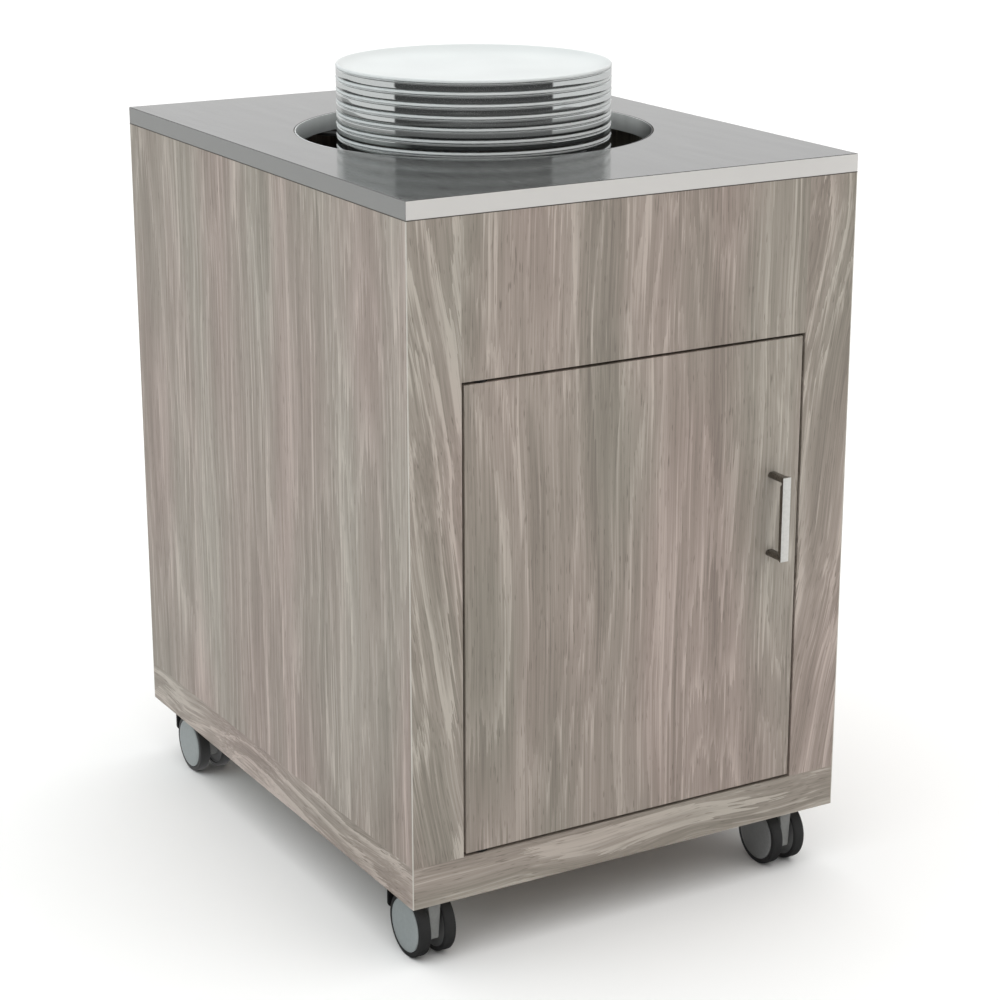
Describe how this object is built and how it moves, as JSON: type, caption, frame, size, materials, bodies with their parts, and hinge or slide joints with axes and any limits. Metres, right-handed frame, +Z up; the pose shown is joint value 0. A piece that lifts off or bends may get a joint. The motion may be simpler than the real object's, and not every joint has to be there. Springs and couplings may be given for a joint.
{
  "type": "self-service plate counter",
  "caption": "Mobile self-service counter: laminate cabinet with a door on twin-wheel casters, steel worktop and a self-levelling plate dispenser.",
  "frame": {"origin": "on the floor, under the middle of the bounding box", "axes": "+X to the right seen from the door, +Y from the door to the back, +Z up"},
  "size_m": [0.51, 0.6766, 0.84],
  "materials": {
    "laminate": "greige timber-grain laminate, satin",
    "base_laminate": "greige laminate, satin",
    "core_board": "raw board",
    "worktop_steel": "fine satin stainless steel",
    "collar_steel": "satin stainless steel",
    "frame_steel": "dark powder coat",
    "guide_steel": "dark plastic-dipped rod",
    "post_steel": "ground rod",
    "zinc_steel": "zinc plated",
    "spring_steel": "drawn wire",
    "rubber": "matt",
    "nylon": "natural nylon",
    "catch_plastic": "moulded",
    "handle_aluminium": "satin anodised",
    "porcelain": "white gloss glaze",
    "caster_plastic": "moulded grey",
    "cap_plastic": "moulded grey",
    "wheel_tread": "black tread, satin",
    "pedal_plastic": "moulded black"
  },
  "bodies": {
    "cabinet": {"plinth_front": "laminate", "plinth_back": "laminate", "plinth_left": "laminate", "plinth_right": "laminate", "base_board": "base_laminate", "stem_inserts": "zinc_steel", "caster_stems": "zinc_steel", "side_panel_left": "laminate", "side_panel_right": "laminate", "stile_left": "laminate", "stile_right": "laminate", "back_panel": "laminate", "apron": "laminate", "steel_top": "worktop_steel", "top_core": "core_board", "well_collar": "collar_steel", "collar_screws": "zinc_steel", "corner_brackets": "frame_steel", "bracket_screws": "zinc_steel", "base_ring": "frame_steel", "guide_posts": "post_steel", "stop_bumpers": "rubber", "plate_guides": "guide_steel", "spring_anchors": "zinc_steel", "lift_springs": "spring_steel", "pivot_pins": "zinc_steel", "magnet_catch": "catch_plastic"},
    "carriage": {"upper_spider": "frame_steel", "lower_spider": "frame_steel", "guide_bushes": "nylon", "carriage_struts": "post_steel", "plate_platform": "frame_steel", "plate_stack": "porcelain"},
    "top_plate": {"top_plate": "porcelain"},
    "door": {"door_panel": "laminate", "pivot_bushes": "nylon", "door_handle": "handle_aluminium", "handle_screws": "zinc_steel", "catch_strike": "zinc_steel"},
    "caster_front_left": {"housing_front_left": "caster_plastic"},
    "wheelset_front_left": {"wheels_front_left": "wheel_tread", "caps_front_left": "cap_plastic", "axle_front_left": "zinc_steel"},
    "brake_front_left": {"pedal_front_left": "pedal_plastic"},
    "caster_front_right": {"housing_front_right": "caster_plastic"},
    "wheelset_front_right": {"wheels_front_right": "wheel_tread", "caps_front_right": "cap_plastic", "axle_front_right": "zinc_steel"},
    "brake_front_right": {"pedal_front_right": "pedal_plastic"},
    "caster_rear_left": {"housing_rear_left": "caster_plastic"},
    "wheelset_rear_left": {"wheels_rear_left": "wheel_tread", "caps_rear_left": "cap_plastic", "axle_rear_left": "zinc_steel"},
    "brake_rear_left": {"pedal_rear_left": "pedal_plastic"},
    "caster_rear_right": {"housing_rear_right": "caster_plastic"},
    "wheelset_rear_right": {"wheels_rear_right": "wheel_tread", "caps_rear_right": "cap_plastic", "axle_rear_right": "zinc_steel"},
    "brake_rear_right": {"pedal_rear_right": "pedal_plastic"}
  },
  "joints": [
    {"name": "door_hinge", "type": "hinge", "parent": "cabinet", "child": "door", "pos_m": [-0.175, -0.30375, 0.35], "axis": [0, 0, -1], "range_deg": [0, 110]},
    {"name": "carriage_lift", "type": "slide", "parent": "cabinet", "child": "carriage", "axis": [0, 0, 1], "range_m": [-0.32, 0.0355], "stiffness_N_per_m": 865, "springref_m": 0.21544, "deforming": ["lift_springs"]},
    {"name": "top_plate_lift", "type": "slide", "parent": "carriage", "child": "top_plate", "axis": [0, 0, 1], "range_m": [0, 0.12]},
    {"name": "swivel_front_left", "type": "hinge", "parent": "cabinet", "child": "caster_front_left", "pos_m": [-0.225, -0.25595, 0.076], "axis": [0, 0, 1], "continuous": true},
    {"name": "roll_front_left", "type": "hinge", "parent": "caster_front_left", "child": "wheelset_front_left", "pos_m": [-0.225, -0.27655, 0.0332], "axis": [1, 0, 0], "continuous": true},
    {"name": "pedal_front_left", "type": "hinge", "parent": "caster_front_left", "child": "brake_front_left", "pos_m": [-0.225, -0.24955, 0.06], "axis": [1, 0, 0], "range_deg": [-8, 0]},
    {"name": "swivel_front_right", "type": "hinge", "parent": "cabinet", "child": "caster_front_right", "pos_m": [0.2036, -0.25595, 0.076], "axis": [0, 0, 1], "continuous": true},
    {"name": "roll_front_right", "type": "hinge", "parent": "caster_front_right", "child": "wheelset_front_right", "pos_m": [0.2036, -0.27655, 0.0332], "axis": [1, 0, 0], "continuous": true},
    {"name": "pedal_front_right", "type": "hinge", "parent": "caster_front_right", "child": "brake_front_right", "pos_m": [0.2036, -0.24955, 0.06], "axis": [1, 0, 0], "range_deg": [-8, 0]},
    {"name": "swivel_rear_left", "type": "hinge", "parent": "cabinet", "child": "caster_rear_left", "pos_m": [-0.225, 0.28145, 0.076], "axis": [0, 0, 1], "continuous": true},
    {"name": "roll_rear_left", "type": "hinge", "parent": "caster_rear_left", "child": "wheelset_rear_left", "pos_m": [-0.225, 0.26085, 0.0332], "axis": [1, 0, 0], "continuous": true},
    {"name": "pedal_rear_left", "type": "hinge", "parent": "caster_rear_left", "child": "brake_rear_left", "pos_m": [-0.225, 0.28785, 0.06], "axis": [1, 0, 0], "range_deg": [-8, 0]},
    {"name": "swivel_rear_right", "type": "hinge", "parent": "cabinet", "child": "caster_rear_right", "pos_m": [0.2036, 0.28145, 0.076], "axis": [0, 0, 1], "continuous": true},
    {"name": "roll_rear_right", "type": "hinge", "parent": "caster_rear_right", "child": "wheelset_rear_right", "pos_m": [0.2036, 0.26085, 0.0332], "axis": [1, 0, 0], "continuous": true},
    {"name": "pedal_rear_right", "type": "hinge", "parent": "caster_rear_right", "child": "brake_rear_right", "pos_m": [0.2036, 0.28785, 0.06], "axis": [1, 0, 0], "range_deg": [-8, 0]}
  ]
}
